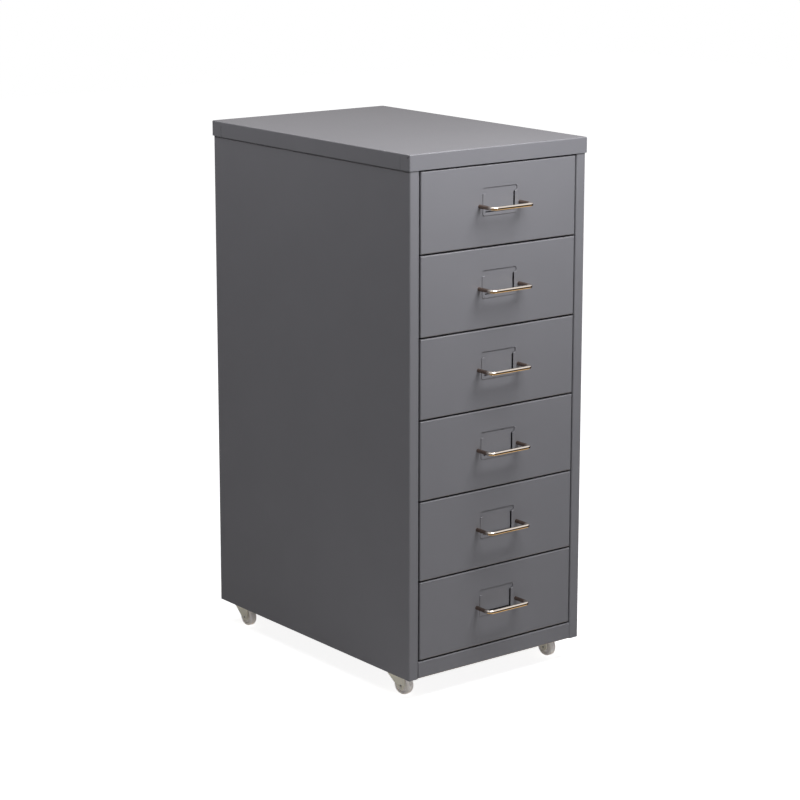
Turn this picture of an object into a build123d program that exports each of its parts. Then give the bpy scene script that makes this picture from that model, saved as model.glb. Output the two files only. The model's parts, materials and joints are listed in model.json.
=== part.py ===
"""Small steel drawer cabinet on castors.

A folded-sheet cabinet with a press-on top cover and six drawers that hang on
C-shaped rails. Millimetres, +Z up, the drawers open towards -Y. The origin is
on the floor, under the middle of the outer box, handles included.
"""
from build123d import *
import os

# ---- Sheet metal ------------------------------------------------------------
BODY_SHEET = 0.8            # cabinet panels and cover
DRAWER_SHEET = 0.7          # drawer fronts and trays
RUNNER_SHEET = 1.0          # drawer rails
BODY_BEND = 2.0             # outside radius of a body fold
COVER_BEND = 1.5            # outside radius of a cover fold
JOGGLE_BEND = 1.0           # outside radius of the folds in and above the side panel's step
DRAWER_BEND = 1.3           # outside radius of a drawer fold
RUNNER_BEND = 1.4           # outside radius of a rail fold

# ---- Cabinet body -----------------------------------------------------------
BODY_WIDTH = 279.0
BODY_DEPTH = 419.0
CASTER_HEIGHT = 32.0        # floor to the underside of the body
RAIL_HEIGHT = 21.8          # front rail below the lowest drawer
RETURN_WIDTH = 14.5         # side panel folded round to the front
RETURN_LIP = 12.0           # the return's edge folded back into the cabinet
REAR_FLANGE = 15.0          # side panel folded round to the back
TOP_FLANGE = 10.0           # side panel folded in under the cover
COVER_FLANGE = 20.0         # height of the cover's skirt
COVER_OVERHANG = 1.5        # the cover stands this far outside the body
JOGGLE_DROP = 1.5           # step in the side panel below the cover's skirt
CORNER_RELIEF = 1.5         # cut away beside each corner bend at the step
PAN_FLANGE = 15.0           # bottom pan's edges folded up
RAIL_SETBACK = 0.5          # front rail behind the returns
RAIL_FOLD = 12.0            # top of the front rail folded back
RAIL_HEM = 7.0              # and down again
PANEL_CLEARANCE = 0.3       # between nested sheets that are not fastened there
CUT_PAST = 1.0              # how far a cut runs on past the face that it opens
FOLD_GAP = 1.0              # between two folded-in flanges that meet at a corner
RAIL_GAP = 0.4              # between the front rail and the side returns

# ---- Cover seams ------------------------------------------------------------
FRONT_SEAM = 18.7           # front skirt wrapped round each side
REAR_SEAM = 21.0            # rear skirt wrapped round each side
SEAM_WIDTH = 0.4
NOTCH_LENGTH = 5.0          # slanted corner relief
NOTCH_WIDTH = 0.9

# ---- Drawers ----------------------------------------------------------------
DRAWER_COUNT = 6
FRONT_HEIGHT = 99.8
DRAWER_GAP = 2.2            # seen all round each drawer front
FRONT_FLANGE = 10.0         # drawer front's edges folded back
TRAY_LENGTH = 385.0
TRAY_LIFT = 3.0             # tray floor above the bottom edge of its front
TRAY_DROP = 6.5             # tray rim below the top edge of its front
TRAY_SIDE_GAP = 11.5        # tray wall inside the edge of the opening
RIM_EDGE_GAP = 3.5          # tray rim inside the edge of the opening
TRAVEL = 300.0              # how far a drawer pulls out

# ---- Rails ------------------------------------------------------------------
RUNNER_MOUTH = 5.5          # free height between the rail's two ledges
RUNNER_CLEARANCE = 0.3      # under the tray rim
RUNNER_SIDE_GAP = 1.5       # rail edge to tray wall
STOP_NIB = 2.6              # turned down from the upper ledge
STOP_TAB = 3.4              # turned up from the tray rim
STOP_GAP = 0.5              # left between nib and tab at full travel
REST_GAP = 0.3              # left between tray and rail end when shut
STOP_WIDTH = 4.0

# ---- Handle -----------------------------------------------------------------
WIRE = 5.0
HANDLE_SPACING = 64.0       # between the two legs
HANDLE_REACH = 25.5         # drawer face to the middle of the bar
HANDLE_BEND = 5.5           # bend radius of the wire's centre line
HANDLE_SCREW = 3.0
HANDLE_BORE_DEPTH = 12.0
BORE_SPARE = 2.0            # bore left empty past the screw's end

# ---- Label holder pressed into each drawer front -----------------------------
LABEL_RISE = 22.3           # mouth of the pocket above the middle of the front
LABEL_WIDTH = 55.2
LABEL_HEIGHT = 34.8
LABEL_BAND = 4.3            # width of the raised U that keeps the card in
BAND_RISE = 0.9             # front of the U before the drawer face
POCKET_DEPTH = 1.1          # card floor behind the drawer face
FUNNEL_STRAIGHT = 4.8       # full-width part of the mouth
FUNNEL_SLOPE = 3.6          # where the mouth narrows to the card
LABEL_SLIT = 1.0            # cut between the card floor and the U
LABEL_CORNER = 2.4
WINDOW_MARGIN = 3.5         # tray wall cut away round the label holder

# ---- Castors ----------------------------------------------------------------
WHEEL_RADIUS = 12.5
WHEEL_WIDTH = 9.0
WHEEL_SHOULDER = 2.2        # rounded edge of the tread
TREAD_THICK = 3.4           # rim outside the dished sides
WHEEL_DISH = 1.4            # depth of the dished sides
HUB_WALL = 2.4              # round the bore
TRAIL = 9.0                 # wheel axle behind the swivel axis
CASTER_INSET = 20.0         # swivel axis in from the side of the body
FRONT_INSET = 48.0          # swivel axis back from the front of the body
REAR_INSET = 28.0           # swivel axis forward from the back of the body
PLATE_X = 32.0
PLATE_Y = 38.0
PLATE_THICK = 1.6
PLATE_CORNER = 4.0
PLATE_HOLES_X = 23.0
PLATE_HOLES_Y = 30.0
CASTER_SCREW = 3.5
FORK_WALL = 2.2
FORK_SIDE_GAP = 0.4         # wheel to fork, each side
FORK_TOP_GAP = 0.9          # tread to hood
HOOD_WALL = 1.3
BOSS_RADIUS = 13.0
BOSS_THICK = 2.9
KINGPIN = 6.0
KINGPIN_HEAD = 9.0
KINGPIN_HEAD_HEIGHT = 1.2
HEAD_ROOM = 1.0             # round the kingpin's heads
AXLE = 3.0
AXLE_PROUD = 0.4            # each end of the axle outside the fork
SWIVEL_GAP = 0.3            # fork under its plate and over the kingpin head
RUNNING_FIT = 0.06          # radial, wheel on axle and fork on kingpin
SEAT_FIT = 0.04             # radial, pins and screws that do not turn
LEG_RADIUS = 5.2

# ---- Cabinet screws ---------------------------------------------------------
BACK_SCREW = 3.5
SCREW_REACH = 5.5           # screw past the sheets it holds
BACK_SCREW_ROWS = 4
BACK_SCREW_END = 40.0       # first and last row from the ends of the back

# ---- Places worked out from the sizes above ----------------------------------
PITCH = FRONT_HEIGHT + DRAWER_GAP
UNDERSIDE = CASTER_HEIGHT
OPENING_BOTTOM = UNDERSIDE + RAIL_HEIGHT
OPENING_TOP = OPENING_BOTTOM + DRAWER_COUNT * PITCH + DRAWER_GAP
COVER_TOP = OPENING_TOP + COVER_FLANGE
BODY_TOP = COVER_TOP - BODY_SHEET
JOGGLE_Z = OPENING_TOP - JOGGLE_DROP
WEB_X = BODY_WIDTH / 2
WALL_X = WEB_X - BODY_SHEET
OPENING_X = WEB_X - RETURN_WIDTH
BODY_Y = (HANDLE_REACH + WIRE / 2 - COVER_OVERHANG) / 2
FRONT = BODY_Y - BODY_DEPTH / 2
REAR = BODY_Y + BODY_DEPTH / 2
BACK_INNER = REAR - 2 * BODY_SHEET
FRONT_WIDTH = 2 * (OPENING_X - DRAWER_GAP)
TRAY_X = OPENING_X - TRAY_SIDE_GAP
RIM_X = OPENING_X - RIM_EDGE_GAP
TRAY_FRONT = FRONT + DRAWER_SHEET
TRAY_REAR = TRAY_FRONT + TRAY_LENGTH
TRAY_BOTTOM = TRAY_LIFT
TRAY_TOP = FRONT_HEIGHT - TRAY_DROP
LEDGE_TOP = TRAY_TOP - DRAWER_SHEET - RUNNER_CLEARANCE
RUNNER_FRONT = FRONT + RETURN_LIP + PANEL_CLEARANCE
HANDLE_Z = FRONT_HEIGHT / 2
LABEL_TOP = FRONT_HEIGHT / 2 + LABEL_RISE
LABEL_BOTTOM = LABEL_TOP - LABEL_HEIGHT
LABEL_X = LABEL_WIDTH / 2
FORK_WIDTH = WHEEL_WIDTH + 2 * (FORK_SIDE_GAP + FORK_WALL)
PLATE_BOTTOM = UNDERSIDE - PLATE_THICK
FORK_TOP = PLATE_BOTTOM - SWIVEL_GAP
BOSS_BOTTOM = FORK_TOP - BOSS_THICK
HOOD_RADIUS = WHEEL_RADIUS + FORK_TOP_GAP + HOOD_WALL

# ---- Castors: place and the way each trails (0 is towards the front) ----------
CASTERS = {
    "front_left": (-1, FRONT + FRONT_INSET, 16),
    "front_right": (1, FRONT + FRONT_INSET, 7),
    "rear_left": (-1, REAR - REAR_INSET, 4),
    "rear_right": (1, REAR - REAR_INSET, -12),
}


def across(outline, y0, y1):
    """Outline drawn in X and Z, as seen from the front, from depth y0 to depth y1."""
    view = Plane(origin=(0, y1, 0), x_dir=(1, 0, 0), z_dir=(0, -1, 0))
    return extrude(view * outline, amount=y1 - y0, dir=(0, -1, 0))


def along(outline, x0, x1):
    """Outline drawn in Y and Z, drawn out from x0 to x1."""
    view = Plane(origin=(x0, 0, 0), x_dir=(0, 1, 0), z_dir=(1, 0, 0))
    return extrude(view * outline, amount=x1 - x0, dir=(1, 0, 0))


def upright(outline, z0, z1):
    """Outline drawn in X and Y, drawn out from z0 to z1."""
    return extrude(Pos(0, 0, z0) * outline, amount=z1 - z0, dir=(0, 0, 1))


def block(x0, x1, y0, y1, z0, z1):
    """Straight-sided piece between two corners."""
    middle = Pos((x0 + x1) / 2, (y0 + y1) / 2, (z0 + z1) / 2)
    return middle * Box(x1 - x0, y1 - y0, z1 - z0)


def folded(points, sheet, bends):
    """Edge of a folded sheet: the points are its outside, with the sheet on their right."""
    outside = FilletPolyline(*points, radius=bends)
    return make_face(offset(outside, sheet, side=Side.RIGHT))


def mirrored(piece):
    """The same piece for the other side of the cabinet."""
    return mirror(piece, about=Plane.YZ)


def screw(thread, length, head_radius, head_height):
    """Pan-head screw along +Z with its head below z = 0."""
    profile = Polyline((0, -head_height), (head_radius * 0.7, -head_height),
                       (head_radius, -head_height * 0.55), (head_radius, 0),
                       (thread / 2, 0), (thread / 2, length), (0, length), close=True)
    return revolve(Plane.XZ * make_face(profile), axis=Axis.Z)


# ---- Cabinet ----------------------------------------------------------------
def top_cover():
    """Lid pressed from one sheet, its skirt slit where the corners wrap round."""
    width = BODY_WIDTH + 2 * COVER_OVERHANG
    depth = BODY_DEPTH + 2 * COVER_OVERHANG
    lid = Pos(0, BODY_Y, COVER_TOP - COVER_FLANGE / 2) * Box(width, depth, COVER_FLANGE)
    underside = lid.faces().sort_by(Axis.Z)[0]
    lid = fillet(lid.edges() - underside.edges(), COVER_BEND)
    lid = offset(lid, amount=-BODY_SHEET, openings=lid.faces().sort_by(Axis.Z)[0])
    outer = width / 2 + CUT_PAST
    inner = outer - BODY_SHEET - 2 * CUT_PAST
    slit_top = COVER_TOP - NOTCH_LENGTH
    for corner, seam, lean in (
        (BODY_Y - depth / 2, FRONT_SEAM, 1),
        (BODY_Y + depth / 2, REAR_SEAM, -1),
    ):
        y = corner + lean * seam
        slit = block(inner, outer, y - SEAM_WIDTH / 2, y + SEAM_WIDTH / 2,
                     OPENING_TOP - CUT_PAST, slit_top)
        notch = Box(outer - inner, NOTCH_LENGTH, NOTCH_WIDTH)
        reach = COVER_BEND + NOTCH_LENGTH * 0.35
        notch = Rot(-45 * lean, 0, 0) * notch
        notch = Pos((inner + outer) / 2, corner + lean * reach, COVER_TOP - reach) * notch
        for cut in (slit, notch):
            lid = lid - cut - mirrored(cut)
    return lid


def side_panel():
    """Left side: front return with its lip, rear flange, and a step in under the cover."""
    profile = folded([(-OPENING_X, FRONT + RETURN_LIP), (-OPENING_X, FRONT), (-WEB_X, FRONT),
                      (-WEB_X, REAR), (-WEB_X + REAR_FLANGE, REAR)], BODY_SHEET, BODY_BEND)
    panel = upright(profile, UNDERSIDE, BODY_TOP)
    front_end = FRONT + BODY_BEND + CORNER_RELIEF
    rear_end = REAR - BODY_BEND - CORNER_RELIEF
    # Above the step the web sits one sheet further in, and the corner bends are cut away.
    step_low = JOGGLE_Z - 2 * BODY_SHEET
    panel = panel - block(-WEB_X - CUT_PAST, -WALL_X, front_end, rear_end, step_low, BODY_TOP + CUT_PAST)
    for y0, y1 in ((FRONT, front_end), (rear_end, REAR)):
        strip_front = max(y0, FRONT + BODY_BEND)
        strip_rear = min(y1, REAR - BODY_BEND)
        panel = panel - block(-WEB_X - CUT_PAST, -WALL_X, strip_front, strip_rear,
                              JOGGLE_Z, BODY_TOP + CUT_PAST)
        panel = panel - block(-WEB_X - CUT_PAST, -WEB_X + BODY_BEND, y0 - CUT_PAST, y1 + CUT_PAST,
                              OPENING_TOP, BODY_TOP + CUT_PAST)
    inset = folded([(-WEB_X, step_low), (-WEB_X, JOGGLE_Z - BODY_SHEET), (-WALL_X, JOGGLE_Z),
                    (-WALL_X, BODY_TOP), (-WALL_X + TOP_FLANGE, BODY_TOP)],
                   BODY_SHEET, JOGGLE_BEND)
    return panel + across(inset, front_end, rear_end)


def back_screw_places():
    """Where the back is screwed to the side panels' rear flanges."""
    x = WALL_X - REAR_FLANGE / 2
    low = UNDERSIDE + BACK_SCREW_END
    step = (BODY_TOP - UNDERSIDE - 2 * BACK_SCREW_END) / (BACK_SCREW_ROWS - 1)
    return [(side * x, low + row * step) for side in (-1, 1) for row in range(BACK_SCREW_ROWS)]


def screw_holes(y0, y1):
    """Clearance holes for the back screws."""
    holes = Sketch() + [Pos(x, z) * Circle(BACK_SCREW / 2 + SEAT_FIT)
                        for x, z in back_screw_places()]
    return across(holes, y0, y1)


def back_panel():
    """Flat back inside the rear flanges, its top edge folded in under the cover."""
    half = WEB_X - BODY_BEND - PANEL_CLEARANCE
    top_half = WALL_X - TOP_FLANGE - FOLD_GAP
    sheet = block(-half, half, BACK_INNER, BACK_INNER + BODY_SHEET, UNDERSIDE, BODY_TOP)
    fold = folded([(BACK_INNER - TOP_FLANGE, BODY_TOP), (BACK_INNER + BODY_SHEET, BODY_TOP),
                   (BACK_INNER + BODY_SHEET, BODY_TOP - 2 * BODY_BEND)], BODY_SHEET, BODY_BEND)
    middle = block(-top_half, top_half, BACK_INNER, BACK_INNER + BODY_SHEET,
                   BODY_TOP - BODY_BEND, BODY_TOP)
    sheet = sheet - middle + along(fold, -top_half, top_half)
    return sheet - screw_holes(BACK_INNER - CUT_PAST, REAR)


def bottom_panel():
    """Bottom pan: folded up against the sides and back, and up, back and down in front."""
    face = FRONT + RAIL_SETBACK
    rail = folded([(BACK_INNER, UNDERSIDE + PAN_FLANGE), (BACK_INNER, UNDERSIDE),
                   (face, UNDERSIDE), (face, OPENING_BOTTOM),
                   (face + RAIL_FOLD, OPENING_BOTTOM),
                   (face + RAIL_FOLD, OPENING_BOTTOM - RAIL_HEM)], BODY_SHEET, BODY_BEND)
    rail_half = OPENING_X - RAIL_GAP
    pan = along(rail, -rail_half, rail_half)
    wing = folded([(-OPENING_X + BODY_BEND, UNDERSIDE), (-WALL_X, UNDERSIDE),
                   (-WALL_X, UNDERSIDE + PAN_FLANGE)], BODY_SHEET, BODY_BEND)
    wing_front = FRONT + RETURN_LIP + PANEL_CLEARANCE
    wing_rear = REAR - BODY_BEND - PANEL_CLEARANCE
    wing = across(wing, wing_front, wing_rear)
    # A tongue on each wing shuts the bottom of the side panel's front return.
    tongue = block(-WALL_X + BODY_BEND, -OPENING_X - BODY_BEND, FRONT + BODY_BEND,
                   wing_front + BODY_BEND, UNDERSIDE, UNDERSIDE + BODY_SHEET)
    wing = wing + tongue
    pan = pan + wing + mirrored(wing)
    for side, y, _ in CASTERS.values():
        x = side * (WEB_X - CASTER_INSET)
        pan = pan - upright(Pos(x, y) * plate_holes(KINGPIN_HEAD / 2 + HEAD_ROOM), 0, OPENING_BOTTOM)
    return pan


def runner(floor):
    """Left-hand rail for the drawer whose front starts at height floor."""
    ledge = floor + LEDGE_TOP
    tip = -(TRAY_X + RUNNER_SIDE_GAP)
    low = ledge - RUNNER_SHEET
    high = ledge + RUNNER_MOUTH + RUNNER_SHEET
    channel = folded([(tip, low), (-WALL_X, low), (-WALL_X, high), (tip, high)],
                     RUNNER_SHEET, RUNNER_BEND)
    end = TRAY_REAR + REST_GAP + RUNNER_SHEET
    rail = across(channel, RUNNER_FRONT, end)
    stop_x = -(RIM_X + TRAY_X) / 2
    nib_rear = TRAY_REAR - DRAWER_SHEET - TRAVEL - STOP_GAP
    nib = block(stop_x - STOP_WIDTH / 2, stop_x + STOP_WIDTH / 2, nib_rear - RUNNER_SHEET,
                nib_rear, high - RUNNER_SHEET - STOP_NIB, high)
    bumper = block(stop_x - STOP_WIDTH / 2, stop_x + STOP_WIDTH / 2,
                   TRAY_REAR + REST_GAP, end, low, high)
    return rail + nib + bumper


# ---- Drawer, drawn with the bottom edge of its front at z = 0 -----------------
def label_floor(grow):
    """Mouth and card floor of the label holder, seen from the front."""
    wide = LABEL_X + grow
    card = LABEL_X - LABEL_BAND - LABEL_SLIT
    slope_top = LABEL_TOP - FUNNEL_STRAIGHT
    slope_end = slope_top - FUNNEL_SLOPE
    low = LABEL_BOTTOM + LABEL_BAND + LABEL_SLIT
    top = LABEL_TOP + grow
    outline = Polyline((-wide, top), (wide, top), (wide, slope_top), (card, slope_end),
                       (card, low), (-card, low), (-card, slope_end), (-wide, slope_top),
                       close=True)
    shape = make_face(outline)
    upper = shape.vertices().filter_by(lambda v: v.Y > top - 0.01)
    return fillet(upper, LABEL_CORNER + grow)


def label_mouth():
    """The part of the pocket that has drawn walls: above the card floor."""
    low = LABEL_TOP - FUNNEL_STRAIGHT
    high = LABEL_TOP + DRAWER_SHEET + CUT_PAST
    wide = LABEL_X + DRAWER_SHEET + CUT_PAST
    return Pos(0, (low + high) / 2) * Rectangle(2 * wide, high - low)


def label_band():
    """The raised U, seen from the front: its outline and the space inside it."""
    top = LABEL_TOP - FUNNEL_STRAIGHT - FUNNEL_SLOPE * 0.6
    height = top - LABEL_BOTTOM
    outer = Pos(0, top - height / 2) * Rectangle(LABEL_WIDTH, height)
    lower = outer.vertices().filter_by(lambda v: v.Y < LABEL_BOTTOM + 0.01)
    return fillet(lower, LABEL_CORNER)


def drawer_front():
    """Pressed front: four folded edges, and the label holder lanced out of its face."""
    face = Box(FRONT_WIDTH, FRONT_FLANGE, FRONT_HEIGHT)
    face = Pos(0, FRONT + FRONT_FLANGE / 2, FRONT_HEIGHT / 2) * face
    rim = face.faces().sort_by(Axis.Y)[0].edges()
    face = fillet(rim, DRAWER_BEND)
    face = offset(face, amount=-DRAWER_SHEET, openings=face.faces().sort_by(Axis.Y)[-1])

    # The card floor is pushed back, and hangs from the mouth's drawn walls.
    floor_back = FRONT + POCKET_DEPTH + DRAWER_SHEET
    mouth = label_floor(0)
    walls = (label_floor(DRAWER_SHEET) - mouth) & label_mouth()
    # The U is pushed forward, joined to the face along its outer edge.
    band = label_band()
    outer_low = LABEL_BOTTOM + LABEL_BAND
    inner_half = LABEL_X - LABEL_BAND
    hole_height = LABEL_TOP - outer_low
    hole = Pos(0, outer_low + hole_height / 2) * Rectangle(2 * inner_half, hole_height)
    shell = across(band, FRONT - BAND_RISE, FRONT + DRAWER_SHEET)
    proud = shell.faces().sort_by(Axis.Y)[0]
    shell = chamfer(proud.edges(), BAND_RISE * 0.6)
    under = offset(band, amount=-DRAWER_SHEET)
    head = Pos(0, LABEL_TOP - FUNNEL_STRAIGHT) * Rectangle(2 * (LABEL_X - DRAWER_SHEET),
                                                          2 * FUNNEL_SLOPE)
    under = under + head
    shell = shell - across(under, FRONT - BAND_RISE + DRAWER_SHEET, floor_back)
    face = face - across(band + mouth, FRONT - CUT_PAST, floor_back)
    face = face + shell
    face = face - across(hole, FRONT - BAND_RISE - CUT_PAST, floor_back)
    face = face + across(walls, FRONT, floor_back)
    face = face + across(label_floor(DRAWER_SHEET) & label_mouth(),
                         FRONT + POCKET_DEPTH, floor_back)
    face = face + across(mouth, FRONT + POCKET_DEPTH, floor_back)

    holes = Sketch() + [Pos(side * HANDLE_SPACING / 2, HANDLE_Z)
                        * Circle(HANDLE_SCREW / 2 + SEAT_FIT) for side in (-1, 1)]
    return face - across(holes, FRONT - CUT_PAST, FRONT + DRAWER_SHEET + CUT_PAST)


def drawer_tray():
    """Folded tray with a rim turned out along each side, to hang on the rails."""
    tray = block(-TRAY_X, TRAY_X, TRAY_FRONT, TRAY_REAR, TRAY_BOTTOM, TRAY_TOP)
    mouth = tray.faces().sort_by(Axis.Z)[-1]
    tray = fillet(tray.edges() - mouth.edges(), DRAWER_BEND)
    tray = offset(tray, amount=-DRAWER_SHEET, openings=tray.faces().sort_by(Axis.Z)[-1])
    rim_front = FRONT + RETURN_LIP
    rim = block(-RIM_X, -TRAY_X + DRAWER_SHEET / 2, rim_front, TRAY_REAR,
                TRAY_TOP - DRAWER_SHEET, TRAY_TOP)
    stop_x = -(RIM_X + TRAY_X) / 2
    tab = block(stop_x - STOP_WIDTH / 2, stop_x + STOP_WIDTH / 2, TRAY_REAR - DRAWER_SHEET,
                TRAY_REAR, TRAY_TOP - DRAWER_SHEET, TRAY_TOP + STOP_TAB)
    hanger = rim + tab
    tray = tray + hanger + mirrored(hanger)
    window = Pos(0, (LABEL_TOP + LABEL_BOTTOM) / 2) * RectangleRounded(
        LABEL_WIDTH + 2 * WINDOW_MARGIN - 2, LABEL_HEIGHT + 2 * WINDOW_MARGIN, LABEL_CORNER)
    holes = Sketch() + [Pos(side * HANDLE_SPACING / 2, HANDLE_Z)
                        * Circle(HANDLE_SCREW / 2 + SEAT_FIT) for side in (-1, 1)]
    return tray - across(window + holes, TRAY_FRONT - CUT_PAST, TRAY_FRONT + DRAWER_SHEET + CUT_PAST)


def drawer_handle():
    """Bent wire pull, drilled and tapped in the end of each leg."""
    half = HANDLE_SPACING / 2
    reach = FRONT - HANDLE_REACH
    path = FilletPolyline((-half, FRONT, HANDLE_Z), (-half, reach, HANDLE_Z),
                          (half, reach, HANDLE_Z), (half, FRONT, HANDLE_Z),
                          radius=HANDLE_BEND)
    section = Plane(origin=path @ 0, z_dir=path % 0) * Circle(WIRE / 2)
    wire = sweep(section, path=path)
    bores = Sketch() + [Pos(side * half, HANDLE_Z) * Circle(HANDLE_SCREW / 2 + SEAT_FIT)
                        for side in (-1, 1)]
    return wire - across(bores, FRONT - HANDLE_BORE_DEPTH, FRONT + CUT_PAST)


def drawer_screws():
    """The handle's two screws, put in from inside the drawer."""
    grip = FRONT + 2 * DRAWER_SHEET
    length = 2 * DRAWER_SHEET + HANDLE_BORE_DEPTH - BORE_SPARE
    fixing = screw(HANDLE_SCREW, length, HANDLE_SCREW * 0.95, HANDLE_SCREW * 0.6)
    return Compound([Pos(side * HANDLE_SPACING / 2, grip, HANDLE_Z) * Rot(90, 0, 0) * fixing
                     for side in (-1, 1)])


# ---- Castor, drawn with its swivel axis on Z and its wheel towards -Y ----------
def plate_holes(middle_radius):
    """Four screw holes and the hole in the middle of a castor plate."""
    corners = [Pos(x * PLATE_HOLES_X / 2, y * PLATE_HOLES_Y / 2)
               * Circle(CASTER_SCREW / 2 + SEAT_FIT) for x in (-1, 1) for y in (-1, 1)]
    return Sketch() + corners + Circle(middle_radius)


def caster_plate():
    """Flat steel top plate."""
    plate = RectangleRounded(PLATE_X, PLATE_Y, PLATE_CORNER)
    plate = plate - plate_holes(KINGPIN / 2 + SEAT_FIT)
    return upright(plate, PLATE_BOTTOM, UNDERSIDE)


def caster_kingpin():
    """Rivet that the fork turns on, headed over above the plate and inside the fork."""
    top = UNDERSIDE + KINGPIN_HEAD_HEIGHT
    head_top = BOSS_BOTTOM - SWIVEL_GAP
    low = head_top - KINGPIN_HEAD_HEIGHT
    bevel = KINGPIN_HEAD_HEIGHT * 0.4
    head = KINGPIN_HEAD / 2
    shank = KINGPIN / 2
    profile = Polyline((0, low), (head - bevel, low), (head, low + bevel), (head, head_top),
                       (shank, head_top), (shank, UNDERSIDE), (head, UNDERSIDE),
                       (head, top - bevel), (head - bevel, top), (0, top), close=True)
    return revolve(Plane.XZ * make_face(profile), axis=Axis.Z)


def caster_fork():
    """Moulded fork: a tapered leg each side of the wheel under one hood."""
    axle = (-TRAIL, WHEEL_RADIUS)
    leg = Pos(*axle) * Circle(LEG_RADIUS)
    boss = Pos(0, (FORK_TOP + BOSS_BOTTOM) / 2) * Rectangle(2 * BOSS_RADIUS, BOSS_THICK)
    taper = make_hull((leg + boss).edges())
    hood = Pos(*axle) * Circle(HOOD_RADIUS)
    keep = Pos(0, FORK_TOP - HOOD_RADIUS / 4) * Rectangle(4 * HOOD_RADIUS, HOOD_RADIUS / 2)
    side = taper + (hood & keep)
    fork = along(side, -FORK_WIDTH / 2, FORK_WIDTH / 2)
    boss_round = upright(Circle(BOSS_RADIUS), BOSS_BOTTOM, FORK_TOP)
    fork = fork + boss_round
    hollow = Pos(*axle) * Circle(WHEEL_RADIUS + FORK_TOP_GAP)
    half = WHEEL_WIDTH / 2 + FORK_SIDE_GAP
    fork = fork - along(hollow, -half, half)
    head_room = upright(Circle(KINGPIN_HEAD / 2 + HEAD_ROOM), WHEEL_RADIUS, BOSS_BOTTOM)
    fork = fork - head_room
    fork = fork - upright(Circle(KINGPIN / 2 + RUNNING_FIT), WHEEL_RADIUS, FORK_TOP + CUT_PAST)
    pin_hole = Pos(*axle) * Circle(AXLE / 2 + SEAT_FIT)
    return fork - along(pin_hole, -FORK_WIDTH, FORK_WIDTH)


def caster_axle():
    """Steel pin held in the fork, its ends slightly rounded."""
    pin = Pos(*(-TRAIL, WHEEL_RADIUS)) * Circle(AXLE / 2)
    reach = FORK_WIDTH / 2 + AXLE_PROUD
    pin = along(pin, -reach, reach)
    ends = pin.faces().sort_by(Axis.X)[0].edges() + pin.faces().sort_by(Axis.X)[-1].edges()
    return chamfer(ends, AXLE_PROUD)


def caster_wheel():
    """Solid nylon wheel with rounded shoulders, dished sides and a hub."""
    half = WHEEL_WIDTH / 2
    bore = AXLE / 2 + RUNNING_FIT
    hub = AXLE / 2 + HUB_WALL
    web = half - WHEEL_DISH
    dish = WHEEL_RADIUS - TREAD_THICK
    profile = Polyline((bore, -half), (hub, -half), (hub, -web), (dish, -web), (dish, -half),
                       (WHEEL_RADIUS, -half), (WHEEL_RADIUS, half), (dish, half),
                       (dish, web), (hub, web), (hub, half), (bore, half), close=True)
    rim = make_face(profile)
    shoulders = rim.vertices().filter_by(lambda v: v.X > WHEEL_RADIUS - 0.01)
    rim = fillet(shoulders, WHEEL_SHOULDER)
    wheel = revolve(rim, axis=Axis.Y)
    return Pos(0, -TRAIL, WHEEL_RADIUS) * Rot(0, 0, 90) * wheel


def caster_screws():
    """Four screws up through one plate into the bottom pan."""
    fixing = screw(CASTER_SCREW, PLATE_THICK + SCREW_REACH, CASTER_SCREW * 0.85, CASTER_SCREW * 0.45)
    return [Pos(x * PLATE_HOLES_X / 2, y * PLATE_HOLES_Y / 2, PLATE_BOTTOM) * fixing
            for x in (-1, 1) for y in (-1, 1)]


# ---- Write every piece --------------------------------------------------------
os.makedirs("parts", exist_ok=True)


def save(name, shape):
    export_step(shape, "parts/" + name + ".step")
    print(name, "volume", round(shape.volume, 1))


save("top_cover", top_cover())
rear_holes = screw_holes(BACK_INNER, REAR + CUT_PAST)
left_side = side_panel()
save("left_side_panel", left_side - rear_holes)
save("right_side_panel", mirrored(left_side) - rear_holes)
save("back_panel", back_panel())
save("bottom_panel", bottom_panel())

back_fixing = screw(BACK_SCREW, 2 * BODY_SHEET + SCREW_REACH, BACK_SCREW * 0.9, BACK_SCREW * 0.4)
save("cabinet_screws", Compound([Pos(x, REAR, z) * Rot(90, 0, 0) * back_fixing
                                 for x, z in back_screw_places()]))

front = drawer_front()
tray = drawer_tray()
handle = drawer_handle()
fixings = drawer_screws()
for number in range(1, DRAWER_COUNT + 1):
    floor = OPENING_TOP - number * PITCH
    left_runner = runner(floor)
    save("runner_left_" + str(number), left_runner)
    save("runner_right_" + str(number), mirrored(left_runner))
    name = "drawer_" + str(number)
    lift = Pos(0, 0, floor)
    save(name + "_front", lift * front)
    save(name + "_tray", lift * tray)
    save(name + "_handle", lift * handle)
    save(name + "_screws", lift * fixings)

fork = caster_fork()
axle = caster_axle()
wheel = caster_wheel()
plate = caster_plate()
kingpins = []
plate_screws = []
for corner, (side, y, turn) in CASTERS.items():
    place = Pos(side * (WEB_X - CASTER_INSET), y, 0)
    swivel = place * Rot(0, 0, turn)
    save("caster_" + corner + "_plate", place * plate)
    save("caster_" + corner + "_fork", swivel * fork)
    save("caster_" + corner + "_axle", swivel * axle)
    save("caster_" + corner + "_wheel", swivel * wheel)
    kingpins.append(place * caster_kingpin())
    plate_screws.extend(place * fixing for fixing in caster_screws())
save("caster_kingpins", Compound(kingpins))
save("caster_screws", Compound(plate_screws))
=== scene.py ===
# %% [markdown]
# # A small steel drawer cabinet, dressed for a studio picture
# The cabinet's folded sheets, drawers and castors come from the CAD model, which gives every
# size and place. This script adds what CAD doesn't hold: paint, plating, moulded nylon, smooth
# wire pulls, rounded castor parts, recessed screw heads, light and a camera.

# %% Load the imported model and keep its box
import json
import math

import bmesh
import bpy
from mathutils import Matrix, Vector


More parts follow.
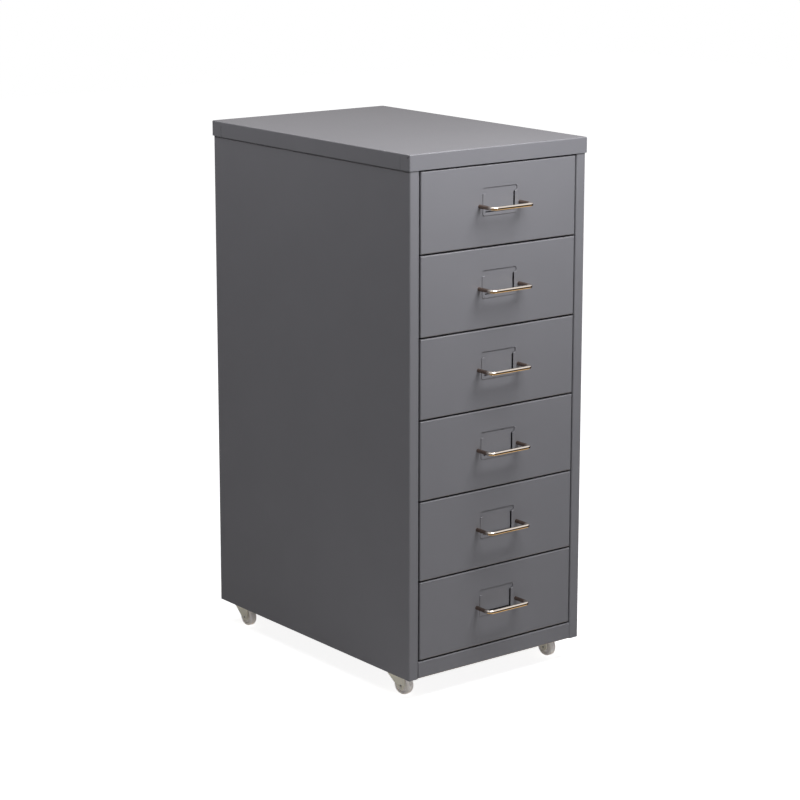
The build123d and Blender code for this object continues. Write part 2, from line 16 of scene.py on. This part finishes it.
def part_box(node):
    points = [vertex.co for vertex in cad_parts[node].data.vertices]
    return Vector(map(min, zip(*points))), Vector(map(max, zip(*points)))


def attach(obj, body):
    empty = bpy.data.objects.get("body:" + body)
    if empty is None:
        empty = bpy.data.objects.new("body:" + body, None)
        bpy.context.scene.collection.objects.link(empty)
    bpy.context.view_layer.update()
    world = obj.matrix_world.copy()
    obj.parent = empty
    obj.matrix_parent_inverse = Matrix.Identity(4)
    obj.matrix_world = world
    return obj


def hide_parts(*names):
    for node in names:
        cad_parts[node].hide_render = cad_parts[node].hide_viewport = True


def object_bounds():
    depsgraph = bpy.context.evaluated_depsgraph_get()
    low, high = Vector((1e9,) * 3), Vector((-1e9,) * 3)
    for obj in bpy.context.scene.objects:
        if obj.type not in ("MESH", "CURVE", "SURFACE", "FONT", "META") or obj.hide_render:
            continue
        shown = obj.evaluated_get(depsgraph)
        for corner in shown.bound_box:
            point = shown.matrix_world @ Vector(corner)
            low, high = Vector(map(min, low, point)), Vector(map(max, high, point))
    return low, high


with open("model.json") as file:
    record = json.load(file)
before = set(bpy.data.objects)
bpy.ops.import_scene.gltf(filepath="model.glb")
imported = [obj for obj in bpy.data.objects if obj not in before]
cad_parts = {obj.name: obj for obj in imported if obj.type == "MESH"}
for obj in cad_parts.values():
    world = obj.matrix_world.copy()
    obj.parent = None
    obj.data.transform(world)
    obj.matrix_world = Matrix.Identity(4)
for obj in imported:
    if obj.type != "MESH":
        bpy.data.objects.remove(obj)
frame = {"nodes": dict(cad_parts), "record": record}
cad_low, cad_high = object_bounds()
MM = 0.001
print("CAD box in mm:", [round((b - a) / MM, 1) for a, b in zip(cad_low, cad_high)])

# %% [markdown]
# ## The camera
# The corners of the cover and body were found in the photograph and a pinhole camera was fitted
# to them, so the lens, the distance and the angles below are the ones that put the model's
# corners on the photograph's. A small shift moves the object right and up in the picture. The
# camera's three axes are written into its matrix directly, because a slight roll is part of the
# fit.

# %% Camera at the photograph's viewing angle
PICTURE_SIZE = 800
SENSOR_WIDTH = 36.0
FOCAL_PIXELS = 2447.4
AZIMUTH = math.radians(-38.81)
ELEVATION = math.radians(12.06)
ROLL = math.radians(0.27)
DISTANCE = 3.2296
AIM = Vector((0.0730, 0.0, 0.4033))
OBJECT_RIGHT_PIXELS = 45.2
OBJECT_UP_PIXELS = 60.0

back = Vector((math.sin(AZIMUTH) * math.cos(ELEVATION),
               -math.cos(AZIMUTH) * math.cos(ELEVATION), math.sin(ELEVATION)))
level_right = Vector((0, 0, 1)).cross(back).normalized()
level_up = back.cross(level_right)
right = level_right * math.cos(ROLL) + level_up * math.sin(ROLL)
up = level_up * math.cos(ROLL) - level_right * math.sin(ROLL)

camera_data = bpy.data.cameras.new("camera")
camera_data.sensor_width = SENSOR_WIDTH
camera_data.lens = FOCAL_PIXELS * SENSOR_WIDTH / PICTURE_SIZE
camera_data.shift_x = -OBJECT_RIGHT_PIXELS / PICTURE_SIZE
camera_data.shift_y = -OBJECT_UP_PIXELS / PICTURE_SIZE
camera = bpy.data.objects.new("camera", camera_data)
place = Matrix((right, up, back)).transposed().to_4x4()
place.translation = AIM + back * DISTANCE
camera.matrix_world = place
bpy.context.scene.collection.objects.link(camera)
bpy.context.scene.camera = camera
bpy.context.scene.view_settings.view_transform = "Standard"
print("Lens in mm:", round(camera_data.lens, 2))
print("Camera at:", tuple(round(v, 3) for v in place.translation))

# %% [markdown]
# ## Colours and nodes
# Colours are written as the hex values a picture editor shows. Shaders work in linear light, so
# one function turns one into the other. A second small function adds a shader node, sets it and
# wires it. Every finish starts from the same shader and the same coordinates, and most vary
# between two close shades, so those two steps are functions as well.

# %% Helpers for materials


def linear(hex_colour):
    """An sRGB hex colour as linear red, green, blue and alpha."""
    channels = [int(hex_colour[i:i + 2], 16) / 255 for i in (1, 3, 5)]
    curve = [c / 12.92 if c <= 0.04045 else ((c + 0.055) / 1.055) ** 2.4 for c in channels]
    return (*curve, 1.0)


def add_node(tree, kind, inputs=None, **settings):
    """Adds a node. Each input is a plain value, or the output socket that feeds it."""
    made = tree.nodes.new(kind)
    for name, value in settings.items():
        setattr(made, name, value)
    for name, value in (inputs or {}).items():
        if isinstance(value, bpy.types.NodeSocket):
            tree.links.new(value, made.inputs[name])
        else:
            made.inputs[name].default_value = value
    return made


def per_metre(size_mm):
    """A texture scale that gives features of this size."""
    return 1000 / size_mm


def new_finish(name):
    """A material, its nodes, its main shader and the coordinates of the piece it is on."""
    material = bpy.data.materials.new(name)
    material.use_nodes = True
    tree = material.node_tree
    position = add_node(tree, "ShaderNodeTexCoord").outputs["Object"]
    return material, tree, tree.nodes["Principled BSDF"], position


def shade_between(tree, factor, first, second):
    """A colour that goes from the first shade to the second."""
    # Inputs 6 and 7 and output 2 of this node are the ones for colours.
    mix = add_node(tree, "ShaderNodeMix", {"Factor": factor}, data_type="RGBA")
    mix.inputs[6].default_value = linear(first)
    mix.inputs[7].default_value = linear(second)
    return mix.outputs[2]


print("Mid grey in linear light:", round(linear("#808080")[0], 3))

# %% [markdown]
# ## Powder coat on sheet steel
# The cabinet is sprayed with dry paint that melts into an even satin skin with a fine orange
# peel. To the eye that is a flat grey with soft, broad highlights. Noise a little under a
# millimetre across gives the peel. From here that is less than a pixel, so it only softens the
# highlights. A much larger, faint noise keeps big panels from looking computed.

# %% Material: satin powder coat
PEEL_MM = 0.9
PEEL_DEPTH = 0.04 * MM
CLOUD_MM = 70.0
PAINT_DARK = "#707075"
PAINT_LIGHT = "#747479"


def powder_coat():
    material, tree, paint, position = new_finish("powder_coated_steel")
    clouds = add_node(tree, "ShaderNodeTexNoise",
                      {"Vector": position, "Scale": per_metre(CLOUD_MM), "Detail": 2.0})
    colour = shade_between(tree, clouds.outputs["Fac"], PAINT_DARK, PAINT_LIGHT)
    peel = add_node(tree, "ShaderNodeTexNoise",
                    {"Vector": position, "Scale": per_metre(PEEL_MM), "Detail": 3.0})
    gloss = add_node(tree, "ShaderNodeMapRange",
                     {"Value": peel.outputs["Fac"], "To Min": 0.34, "To Max": 0.46})
    bump = add_node(tree, "ShaderNodeBump",
                    {"Height": peel.outputs["Fac"], "Strength": 0.25, "Distance": PEEL_DEPTH})
    tree.links.new(colour, paint.inputs["Base Color"])
    tree.links.new(gloss.outputs["Result"], paint.inputs["Roughness"])
    tree.links.new(bump.outputs["Normal"], paint.inputs["Normal"])
    paint.inputs["Specular IOR Level"].default_value = 0.6
    return material


cabinet_paint = powder_coat()
print("Material:", cabinet_paint.name)

# %% [markdown]
# ## Bright nickel on drawn wire
# The pulls are steel wire, bent and then plated. Drawing leaves very fine lines along the wire,
# which plating softens, so the highlights are long and clean. The roughness changes slightly with
# a noise stretched along the bar. In the photograph the bar is bright and its two legs look
# brown, so the colour fades from nickel to brown between the bar and the drawer's face. That
# brown is a painted reflection and painted shade on the legs, not a colour of the plating.

# %% Material: nickel-plated wire
DRAW_LINE_MM = 0.35
# The plain nickel colour reaches this far behind the front of the bar. Behind it, a painted brown
# reflection and shade fades in towards the drawer's face.
PLAIN_NICKEL_DEPTH = 6.0 * MM
FADE_LENGTH = 5.0 * MM
FADE_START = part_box("drawer_1_handle")[0].y + PLAIN_NICKEL_DEPTH


def nickel_plate():
    material, tree, metal, position = new_finish("nickel_plated_wire")
    metal.inputs["Metallic"].default_value = 1.0
    stretched = add_node(tree, "ShaderNodeMapping", {"Vector": position, "Scale": (0.04, 1.0, 1.0)})
    lines = add_node(tree, "ShaderNodeTexNoise",
                     {"Vector": stretched.outputs["Vector"], "Scale": per_metre(DRAW_LINE_MM)})
    gloss = add_node(tree, "ShaderNodeMapRange",
                     {"Value": lines.outputs["Fac"], "To Min": 0.03, "To Max": 0.07})
    depth = add_node(tree, "ShaderNodeSeparateXYZ", {"Vector": position}).outputs["Y"]
    # Painted reflection and shade: the legs turn from nickel to brown towards the drawer's face.
    painted_brown_share = add_node(tree, "ShaderNodeMapRange", {"Value": depth, "From Min": FADE_START,
                                                    "From Max": FADE_START + FADE_LENGTH})
    nickel_with_painted_brown = shade_between(tree, painted_brown_share.outputs["Result"], "#e4dcd2", "#86746a")
    tree.links.new(gloss.outputs["Result"], metal.inputs["Roughness"])
    tree.links.new(nickel_with_painted_brown, metal.inputs["Base Color"])
    return material


handle_nickel = nickel_plate()
print("Material:", handle_nickel.name)

# %% [markdown]
# ## Zinc on pressed steel and screws
# Fasteners and castor plates are zinc plated: a duller, bluish metal with a faint crystal
# mottle about a millimetre across.

# %% Material: zinc plate
MOTTLE_MM = 1.2


def zinc_plate(name, dark, light):
    material, tree, metal, position = new_finish(name)
    metal.inputs["Metallic"].default_value = 1.0
    mottle = add_node(tree, "ShaderNodeTexNoise",
                      {"Vector": position, "Scale": per_metre(MOTTLE_MM), "Detail": 3.0})
    colour = shade_between(tree, mottle.outputs["Fac"], dark, light)
    gloss = add_node(tree, "ShaderNodeMapRange",
                     {"Value": mottle.outputs["Fac"], "To Min": 0.30, "To Max": 0.45})
    tree.links.new(colour, metal.inputs["Base Color"])
    tree.links.new(gloss.outputs["Result"], metal.inputs["Roughness"])
    return material


screw_zinc = zinc_plate("zinc_plated_screws", "#a9adb3", "#c3c7cc")
plate_zinc = zinc_plate("zinc_plated_castor_plate", "#7d7f82", "#95979a")
print("Materials:", screw_zinc.name, plate_zinc.name)

# %% [markdown]
# ## Moulded nylon
# Natural nylon is a milky, slightly yellow-green plastic. The tool that moulds it leaves a fine
# spark-eroded grain, and a little light goes into it, so its shadows stay soft. In the
# photograph the wheels look paler and a touch pinker than the forks.

# %% Material: nylon for forks and wheels
GRAIN_MM = 0.5
GRAIN_DEPTH = 0.03 * MM
SMUDGE_MM = 8.0


def moulded_nylon(name, dark, light):
    material, tree, plastic, position = new_finish(name)
    plastic.inputs["IOR"].default_value = 1.53
    plastic.inputs["Roughness"].default_value = 0.48
    plastic.inputs["Subsurface Weight"].default_value = 0.15
    plastic.inputs["Subsurface Radius"].default_value = (0.002, 0.0018, 0.0014)
    plastic.inputs["Subsurface Scale"].default_value = 1.0
    grain = add_node(tree, "ShaderNodeTexNoise",
                     {"Vector": position, "Scale": per_metre(GRAIN_MM), "Detail": 2.0})
    smudges = add_node(tree, "ShaderNodeTexNoise",
                       {"Vector": position, "Scale": per_metre(SMUDGE_MM)})
    colour = shade_between(tree, smudges.outputs["Fac"], dark, light)
    bump = add_node(tree, "ShaderNodeBump",
                    {"Height": grain.outputs["Fac"], "Strength": 0.2, "Distance": GRAIN_DEPTH})
    tree.links.new(colour, plastic.inputs["Base Color"])
    tree.links.new(bump.outputs["Normal"], plastic.inputs["Normal"])
    return material


fork_nylon = moulded_nylon("moulded_nylon_fork", "#d6d2c2", "#e0dccf")
wheel_nylon = moulded_nylon("moulded_nylon_wheel", "#f2ece8", "#faf6f3")
print("Materials:", fork_nylon.name, wheel_nylon.name)

# %% [markdown]
# ## Finishes on the CAD pieces
# The record says which material slot each piece has, so the finish follows the slot and no piece
# is forgotten. The sheet-metal pieces keep their CAD meshes, which already have real bends.

# %% Give every CAD piece its finish
FINISHES = {
    "cabinet_paint": cabinet_paint,
    "handle_wire": handle_nickel,
    "zinc_screws": screw_zinc,
    "caster_plate_steel": plate_zinc,
    "caster_nylon": fork_nylon,
    "wheel_nylon": wheel_nylon,
}
slot_of = {part["node"]: part["material_slot"] for part in frame["record"]["subparts"]}
body_of = {name: body for body, names in frame["record"]["behaviour"]["bodies"].items()
           for name in names}
for name, piece in frame["nodes"].items():
    piece.data.materials.clear()
    piece.data.materials.append(FINISHES[slot_of[name]])
print("Finished CAD pieces:", len(frame["nodes"]))

# %% [markdown]
# ## Putting a new piece on the part
# Every new piece is made with bmesh at the place where its CAD piece is. Its object stays at the
# origin, it rides on the CAD piece's body, takes the same slot and stands for that piece. Where a
# new piece needs the CAD piece's mesh, it starts from a merged copy, and the CAD mesh is left
# alone.

# %% Copy a CAD mesh, and finish a new piece
SMOOTH_BELOW = math.radians(35)
MERGE_DISTANCE = 1e-6
CAD_MERGE_DISTANCE = 2e-6


def merged_copy(node):
    """A CAD node's mesh in the model's own place, with its doubled corners merged."""
    source = frame["nodes"][node]
    shape = bmesh.new()
    shape.from_mesh(source.data)
    shape.transform(source.matrix_world)
    bmesh.ops.remove_doubles(shape, verts=shape.verts, dist=CAD_MERGE_DISTANCE)
    return shape


def stand_for(shape, node):
    """Turns a bmesh into the piece that is seen instead of one CAD node."""
    mesh = bpy.data.meshes.new(node + "_dressed")
    bmesh.ops.recalc_face_normals(shape, faces=shape.faces)
    shape.to_mesh(mesh)
    shape.free()
    mesh.shade_smooth()
    mesh.set_sharp_from_angle(angle=SMOOTH_BELOW)
    piece = bpy.data.objects.new(node + "_dressed", mesh)
    bpy.context.scene.collection.objects.link(piece)
    piece.data.materials.append(FINISHES[slot_of[node]])
    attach(piece, body_of[node])
    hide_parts(node)
    return piece


# %% [markdown]
# ## Wire pulls
# A pull is one length of round wire with two bends. A curve with a bevel would do, but a circle
# swept with bmesh spins and extrusions gives clean rings and closed ends: straight leg, quarter
# turn, half the bar. The half is then mirrored, and the seam in the middle is merged.

# %% Model one pull and put one on each drawer
RING_SIDES = 32
BEND_STEPS = 12
WIRE_BEND = 5.5 * MM


def wire_pull(node):
    low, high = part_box(node)
    wire = high.z - low.z
    middle = (low.z + high.z) / 2
    leg_x = high.x - wire / 2
    bar_y = low.y + wire / 2
    shape = bmesh.new()
    ring = bmesh.ops.create_circle(shape, cap_ends=True, segments=RING_SIDES, radius=wire / 2,
                                   matrix=Matrix.Translation((leg_x, high.y, middle))
                                   @ Matrix.Rotation(math.radians(90), 4, "X"))
    face = ring["verts"][0].link_faces[0]
    leg = bmesh.ops.extrude_face_region(shape, geom=[face], use_keep_orig=True)
    end = [v for v in leg["geom"] if isinstance(v, bmesh.types.BMVert)]
    bmesh.ops.translate(shape, verts=end, vec=(0, bar_y + WIRE_BEND - high.y, 0))
    end_faces = [f for f in leg["geom"] if isinstance(f, bmesh.types.BMFace)]
    turn = bmesh.ops.spin(shape, geom=end_faces, cent=(leg_x - WIRE_BEND, bar_y + WIRE_BEND, middle),
                          axis=(0, 0, -1), angle=math.radians(90), steps=BEND_STEPS)
    turned = [f for f in turn["geom_last"] if isinstance(f, bmesh.types.BMFace)]
    bar = bmesh.ops.extrude_face_region(shape, geom=turned)
    bar_end = [v for v in bar["geom"] if isinstance(v, bmesh.types.BMVert)]
    bmesh.ops.translate(shape, verts=bar_end, vec=(WIRE_BEND - leg_x, 0, 0))
    inner = [f for f in shape.faces if all(abs(v.co.x) < MERGE_DISTANCE for v in f.verts)]
    bmesh.ops.delete(shape, geom=inner, context="FACES_ONLY")
    bmesh.ops.mirror(shape, geom=shape.verts[:] + shape.edges[:] + shape.faces[:], axis="X",
                     merge_dist=MERGE_DISTANCE)
    bmesh.ops.remove_doubles(shape, verts=shape.verts, dist=MERGE_DISTANCE)
    return stand_for(shape, node)


pulls = [wire_pull(name) for name in sorted(frame["nodes"]) if name.endswith("_handle")]
print("Pulls:", len(pulls), "faces each:", len(pulls[0].data.polygons))

# %% [markdown]
# ## Castor wheels
# A small castor wheel is one moulding: a tread with rounded shoulders, a thin web that saves
# plastic, and a hub round the pin. It is the same all the way round, so its section is drawn once
# above the axle and spun a full turn. A mould never leaves a sharp corner, so the corners of the
# hub and the rim are rounded afterwards.

# %% Spin one wheel on each axle
# The sizes of the section are in mm.
WHEEL_RADIUS = 12.5
WHEEL_HALF = 4.5
SHOULDER = 2.2
DISH_RADIUS = 9.1
WEB_HALF = 3.1
HUB_RADIUS = 3.9
BORE_RADIUS = 1.56
SHOULDER_STEPS = 6
SPIN_STEPS = 72
MOULD_ROUND = 0.35 * MM
WHEEL_CORNER = math.radians(50)
joint_of = {joint["child"]: joint for joint in frame["record"]["behaviour"]["joints"]}


def wheel_section():
    """The section as (distance from the axle, distance along it) in mm."""
    side = [(BORE_RADIUS, WHEEL_HALF), (HUB_RADIUS, WHEEL_HALF), (HUB_RADIUS, WEB_HALF),
            (DISH_RADIUS, WEB_HALF), (DISH_RADIUS, WHEEL_HALF)]
    for step in range(SHOULDER_STEPS + 1):
        angle = math.radians(90 - 90 * step / SHOULDER_STEPS)
        side.append((WHEEL_RADIUS - SHOULDER * (1 - math.cos(angle)),
                     WHEEL_HALF - SHOULDER * (1 - math.sin(angle))))
    return side + [(radius, -along) for radius, along in reversed(side)]


def castor_wheel(node):
    low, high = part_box(node)
    middle = (low + high) / 2
    axle = Vector(joint_of[body_of[node]]["axis"])
    shape = bmesh.new()
    points = [shape.verts.new(middle + Vector((0, 0, radius * MM)) + axle * along * MM)
              for radius, along in wheel_section()]
    section = [shape.edges.new(pair) for pair in zip(points, points[1:] + points[:1])]
    bmesh.ops.spin(shape, geom=points + section, cent=middle, axis=axle, angle=math.tau,
                   steps=SPIN_STEPS, use_merge=True)
    bmesh.ops.remove_doubles(shape, verts=shape.verts, dist=MERGE_DISTANCE)
    bmesh.ops.recalc_face_normals(shape, faces=shape.faces)
    corners = [e for e in shape.edges if e.calc_face_angle(0) > WHEEL_CORNER]
    bmesh.ops.bevel(shape, geom=corners, offset=MOULD_ROUND, offset_type="OFFSET", segments=3,
                    profile=0.5, affect="EDGES", material=-1)
    return stand_for(shape, node)


wheels = [castor_wheel(name) for name in sorted(frame["nodes"]) if name.endswith("_wheel")]
print("Wheels:", len(wheels), "faces each:", len(wheels[0].data.polygons))

# %% [markdown]
# ## Castor forks
# The fork is moulded too, and its outline is already right in the CAD model. Only the edges are
# too crisp. A copy of its mesh is merged, its flat areas are joined again, and a small bevel
# rounds every edge that turns by more than the facets of its curves do.

# %% Round the edges of each fork
FORK_ROUND = 0.45 * MM
FORK_CORNER = math.radians(35)
FLAT_BELOW = math.radians(1)


def rounded_fork(node):
    shape = merged_copy(node)
    bmesh.ops.dissolve_limit(shape, angle_limit=FLAT_BELOW, verts=shape.verts, edges=shape.edges)
    corners = [e for e in shape.edges if e.calc_face_angle(0) > FORK_CORNER]
    bmesh.ops.bevel(shape, geom=corners, offset=FORK_ROUND, offset_type="OFFSET", segments=2,
                    profile=0.5, affect="EDGES", material=-1, clamp_overlap=True)
    bmesh.ops.triangulate(shape, faces=shape.faces)
    return stand_for(shape, node)


forks = [rounded_fork(name) for name in sorted(frame["nodes"]) if name.endswith("_fork")]
print("Forks:", len(forks), "faces each:", len(forks[0].data.polygons))

# %% [markdown]
# ## Screws with a cross recess
# The CAD screws have plain heads. On the real ones a punch presses a cross into the head. Here a
# small grid is the middle of the head, its cross-shaped faces are pushed in and narrowed, and
# the grid's edge is carried outwards and down in rings: crown, rim, underside, shank and point.

# %% Put recessed screws where the CAD screws are
GRID_CELLS = 6
RECESS_SHARE = 0.62
RECESS_DEPTH_SHARE = 0.62
RECESS_TAPER = 0.72
# Rings of the head from the top down, as shares of its radius and of its height.
CROWN = ((0.80, 0.12), (0.94, 0.35), (1.0, 0.62), (1.0, 1.0))
# The blunt point, as shares of the thread's width.
POINT_LENGTH = 0.2
POINT_RADIUS = 0.32
TO_THE_BACK = Matrix.Rotation(math.radians(-90), 4, "X")
DOWNWARD = Matrix.Rotation(math.pi, 4, "X")
# Thread and head height in mm, and the turn that points a head its way out.
SCREWS = {"cabinet_screws": (3.5, 1.4, TO_THE_BACK), "caster_screws": (3.5, 1.575, DOWNWARD)}
for name in frame["nodes"]:
    if name.startswith("drawer_") and name.endswith("_screws"):
        SCREWS[name] = (3.0, 1.8, TO_THE_BACK)


def separate_boxes(node):
    """The corners of the box round each loose piece of a CAD node."""
    shape = merged_copy(node)
    left = set(shape.verts)
    boxes = []
    while left:
        reached = [left.pop()]
        for vert in reached:
            for other in (edge.other_vert(vert) for edge in vert.link_edges):
                if other in left:
                    left.remove(other)
                    reached.append(other)
        boxes.append([Vector([pick(v.co[axis] for v in reached) for axis in range(3)])
                      for pick in (min, max)])
    shape.free()
    return boxes


def recessed_screw(shape, place, head_radius, head_height, thread, length):
    """Adds a screw with the top of its head at the place and its shank along local -Z."""
    before = set(shape.verts)
    half = head_radius * RECESS_SHARE
    cell = 2 * half / GRID_CELLS
    bmesh.ops.create_grid(shape, x_segments=GRID_CELLS, y_segments=GRID_CELLS, size=half)
    fresh = [f for f in shape.faces if f.verts[0] not in before]
    middles = {f: sorted(abs(c) for c in f.calc_center_median().to_2d()) for f in fresh}
    cross = [f for f, (near, far) in middles.items() if near < cell and far < 2 * cell]
    rim = [e for e in shape.edges if e.is_boundary]
    pushed = bmesh.ops.extrude_face_region(shape, geom=cross)
    for vert in [v for v in pushed["geom"] if isinstance(v, bmesh.types.BMVert)]:
        vert.co = (vert.co.x * RECESS_TAPER, vert.co.y * RECESS_TAPER,
                   -head_height * RECESS_DEPTH_SHARE)
    rings = [(head_radius * out, -head_height * down) for out, down in CROWN]
    rings += [(thread / 2, -head_height), (thread / 2, thread * POINT_LENGTH - length),
              (thread * POINT_RADIUS, -length)]
    for radius, height in rings:
        out = bmesh.ops.extrude_edge_only(shape, edges=rim)["geom"]
        rim = [e for e in out if isinstance(e, bmesh.types.BMEdge)]
        for vert in [v for v in out if isinstance(v, bmesh.types.BMVert)]:
            angle = math.atan2(vert.co.y, vert.co.x)
            vert.co = (radius * math.cos(angle), radius * math.sin(angle), height)
    bmesh.ops.holes_fill(shape, edges=rim, sides=0)
    added = [v for v in shape.verts if v not in before]
    bmesh.ops.transform(shape, matrix=place, verts=added)


def dress_screws(node, thread_mm, head_mm, turn):
    shape = bmesh.new()
    outward = turn @ Vector((0, 0, 1))
    for low, high in separate_boxes(node):
        span = high - low
        length = abs(span.dot(outward))
        head_top = (low + high) / 2 + outward * length / 2
        recessed_screw(shape, Matrix.Translation(head_top) @ turn, span.x / 2, head_mm * MM,
                       thread_mm * MM, length)
    return stand_for(shape, node)


screws = [dress_screws(name, *sizes) for name, sizes in SCREWS.items()]
print("Screw nodes:", len(screws), "faces:", sum(len(s.data.polygons) for s in screws))

# %% [markdown]
# ## The surroundings
# The photograph was taken in a studio with a plain white ground. To the camera the surroundings
# are white, and to matt surfaces they give a weak even light. Bright wire shows everything around
# it, so reflections get a room of their own: white walls and ceiling, a dark brown band round the
# horizon and a tan floor that is darker straight below, which are the colours that the pulls show
# in the photograph. Each band is written as the height of a direction, from -1 straight down to 1
# straight up.

# %% Surroundings for the camera, for matt surfaces and for reflections
world = bpy.data.worlds.new("surroundings")
bpy.context.scene.world = world
world.use_nodes = True
sky = world.node_tree
sky.nodes.clear()
ROOM_BANDS = [(-1.00, "#4a3a2c"), (-0.85, "#e6c088"), (-0.64, "#e6c088"), (-0.58, "#241a15"),
              (0.20, "#33271f"), (0.36, "#f6efec"), (1.00, "#ffffff")]
SOFT_LIGHT = 0.09
ray = add_node(sky, "ShaderNodeLightPath")
direction = add_node(sky, "ShaderNodeTexCoord").outputs["Generated"]
height = add_node(sky, "ShaderNodeSeparateXYZ", {"Vector": direction}).outputs["Z"]
level = add_node(sky, "ShaderNodeMapRange", {"Value": height, "From Min": -1.0, "From Max": 1.0})
bands = add_node(sky, "ShaderNodeValToRGB", {"Fac": level.outputs["Result"]})
ramp = bands.color_ramp.elements
for number, (band_height, colour) in enumerate(ROOM_BANDS):
    position = (band_height + 1) / 2
    stop = ramp[number] if number < 1 else ramp.new(position)
    stop.position = position
    stop.color = linear(colour)
# A new ramp has a stop at each end. The white one at the top is left over.
ramp.remove(ramp[-1])
soft = add_node(sky, "ShaderNodeBackground", {"Color": linear("#ffffff"), "Strength": SOFT_LIGHT})
room = add_node(sky, "ShaderNodeBackground", {"Color": bands.outputs["Color"], "Strength": 1.0})
white = add_node(sky, "ShaderNodeBackground", {"Color": linear("#ffffff"), "Strength": 1.0})
matt_or_room = add_node(sky, "ShaderNodeMixShader", {0: ray.outputs["Is Glossy Ray"],
                                                     1: soft.outputs[0], 2: room.outputs[0]})
all_rays = add_node(sky, "ShaderNodeMixShader", {0: ray.outputs["Is Camera Ray"],
                                                 1: matt_or_room.outputs[0], 2: white.outputs[0]})
add_node(sky, "ShaderNodeOutputWorld", {"Surface": all_rays.outputs[0]})
print("Room bands:", [round(stop.position, 3) for stop in ramp])

# %% [markdown]
# ## The floor
# The floor is pale and shows almost white, with a faint shadow where the castors stand. In the
# studio it is lit from all round, so it glows a little itself and throws light up on the castors.
# The rest of its brightness is only for the camera. It grows with the distance from the cabinet,
# so the far floor, which the lamps don't reach, is as white as the near floor.

# %% Pale floor
FLOOR_HALF = 6.0
FLOOR_DROP = 0.5 * MM
NEAR, NEAR_GLOW = 0.5, 0.86
FAR, FAR_GLOW = 1.5, 1.0
GLOW_ON_CASTORS = 0.26
floor_mesh = bpy.data.meshes.new("studio_floor")
floor_shape = bmesh.new()
bmesh.ops.create_grid(floor_shape, x_segments=1, y_segments=1, size=FLOOR_HALF)
floor_shape.to_mesh(floor_mesh)
floor_shape.free()
floor = bpy.data.objects.new("studio_floor", floor_mesh)
floor.location.z = cad_low.z - FLOOR_DROP
floor.visible_glossy = False
bpy.context.scene.collection.objects.link(floor)

floor_paint = bpy.data.materials.new("pale_studio_floor")
floor_paint.use_nodes = True
tree = floor_paint.node_tree
tree.nodes.clear()
ray = add_node(tree, "ShaderNodeLightPath")
matt = add_node(tree, "ShaderNodeBsdfDiffuse", {"Color": linear("#e4e4e4")})
floor_place = add_node(tree, "ShaderNodeTexCoord").outputs["Object"]
away = add_node(tree, "ShaderNodeVectorMath", {0: floor_place}, operation="LENGTH")
strength = add_node(tree, "ShaderNodeMapRange",
                    {"Value": away.outputs["Value"], "From Min": NEAR, "From Max": FAR,
                     "To Min": NEAR_GLOW, "To Max": FAR_GLOW})
glow = add_node(tree, "ShaderNodeEmission",
                {"Color": linear("#ffffff"), "Strength": strength.outputs["Result"]})
faint = add_node(tree, "ShaderNodeEmission",
                 {"Color": linear("#ffffff"), "Strength": GLOW_ON_CASTORS})
lift = add_node(tree, "ShaderNodeMixShader", {0: ray.outputs["Is Camera Ray"], 1: faint.outputs[0],
                                              2: glow.outputs[0]})
total = add_node(tree, "ShaderNodeAddShader", {0: matt.outputs[0], 1: lift.outputs[0]})
add_node(tree, "ShaderNodeOutputMaterial", {"Surface": total.outputs[0]})
floor.data.materials.append(floor_paint)
print("Floor at height in mm:", round(floor.location.z / MM, 2))

# %% [markdown]
# ## The lamps
# The key light is a large soft lamp above and to the right of the front. A second lamp hangs
# close over the front, so the fronts fade downwards and every edge folded towards it gets a
# bright line. A lamp overhead lights the cover. The left side faces away from these and gets only
# a fill from high up at its rear.

# %% Key, over-front, overhead and fill lamps


def lamp(name, place, aim, size, power):
    """A square soft lamp that points from its place to its aim. Size in m, power in W."""
    data = bpy.data.lights.new(name, "AREA")
    data.shape = "SQUARE"
    data.size = size
    data.energy = power
    made = bpy.data.objects.new(name, data)
    made.location = place
    made.rotation_euler = (Vector(aim) - Vector(place)).to_track_quat("-Z", "Y").to_euler()
    bpy.context.scene.collection.objects.link(made)
    return made


key = lamp("key_lamp", (0.30, -0.85, 1.42), (0, -0.1, 0.5), 0.55, 10.8)
over = lamp("over_front_lamp", (-0.06, -0.64, 1.06), (0, -0.1, 0.6), 0.4, 4.0)
top = lamp("top_lamp", (0.0, 0.3, 2.0), (0, 0, 0.6), 0.9, 3.8)
fill = lamp("fill_lamp", (-0.55, 0.25, 1.30), (-0.1, 0, 0.5), 0.5, 3.9)
print("Lamps:", key.name, over.name, top.name, fill.name)
